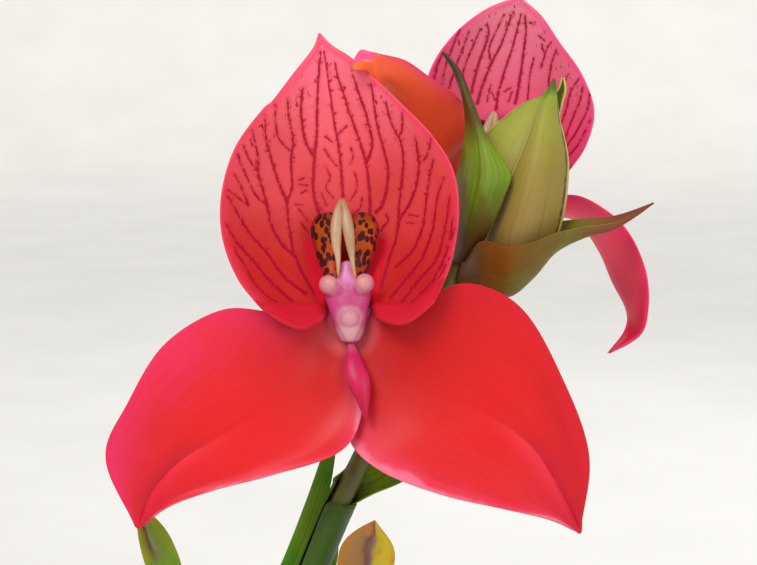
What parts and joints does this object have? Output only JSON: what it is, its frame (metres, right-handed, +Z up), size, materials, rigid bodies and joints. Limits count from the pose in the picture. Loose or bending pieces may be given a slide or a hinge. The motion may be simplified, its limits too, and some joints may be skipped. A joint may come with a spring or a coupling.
{
  "type": "potted orchid",
  "caption": "Potted red disa orchid: hooded red flower with broad drooping sepals, a pinker flower and a green bud behind, leafy stem and leaf rosette in a plain tapered clay pot.",
  "frame": {"origin": "centre of the pot's underside, on the surface that the pot stands on", "axes": "+Z up along the pot's axis, the front flower faces -Y, +X to the viewer's right"},
  "size_m": [0.1818, 0.1528, 0.3064],
  "materials": {
    "clay": "matte",
    "growing_mix": "matte",
    "tuber": "matte",
    "stem": "satin",
    "leaf": "satin",
    "withered_leaf": "matte",
    "sheath": "matte",
    "bract": "satin",
    "bud": "satin",
    "ovary": "satin",
    "hood_red": "satin",
    "hood_pink": "satin",
    "sepal_red": "satin",
    "sepal_orange": "satin",
    "sepal_pink": "satin",
    "petal_spotted": "satin",
    "lip_magenta": "satin",
    "column_pink": "satin",
    "anther_cream": "satin"
  },
  "bodies": {
    "root": {"clay_pot": "clay", "growing_mix": "growing_mix", "tuber": "tuber", "flower_stem": "stem", "rosette_leaf_1": "leaf", "rosette_leaf_2": "leaf", "rosette_leaf_3": "leaf", "rosette_leaf_4": "leaf", "rosette_leaf_5": "leaf", "rosette_leaf_6": "leaf", "rosette_leaf_7": "leaf", "tall_leaf_left": "leaf", "tall_leaf_withered": "withered_leaf", "stem_leaf_left": "leaf", "stem_leaf_right": "leaf", "sheath_leaf": "sheath", "front_hood": "hood_red", "front_sepal_left": "sepal_red", "front_sepal_right": "sepal_red", "front_petal_left": "petal_spotted", "front_petal_right": "petal_spotted", "front_lip": "lip_magenta", "front_column": "column_pink", "front_anther": "anther_cream", "front_ovary": "ovary", "front_bract": "bract", "back_hood": "hood_pink", "back_sepal_left": "sepal_orange", "back_sepal_right": "sepal_pink", "back_petal_left": "petal_spotted", "back_petal_right": "petal_spotted", "back_lip": "lip_magenta", "back_column": "column_pink", "back_anther": "anther_cream", "back_ovary": "ovary", "back_bract": "bract", "bud_sepal_front": "bud", "bud_sepal_left": "bud", "bud_sepal_right": "bud", "bud_ovary": "ovary", "bud_bract": "bract"}
  },
  "joints": []
}
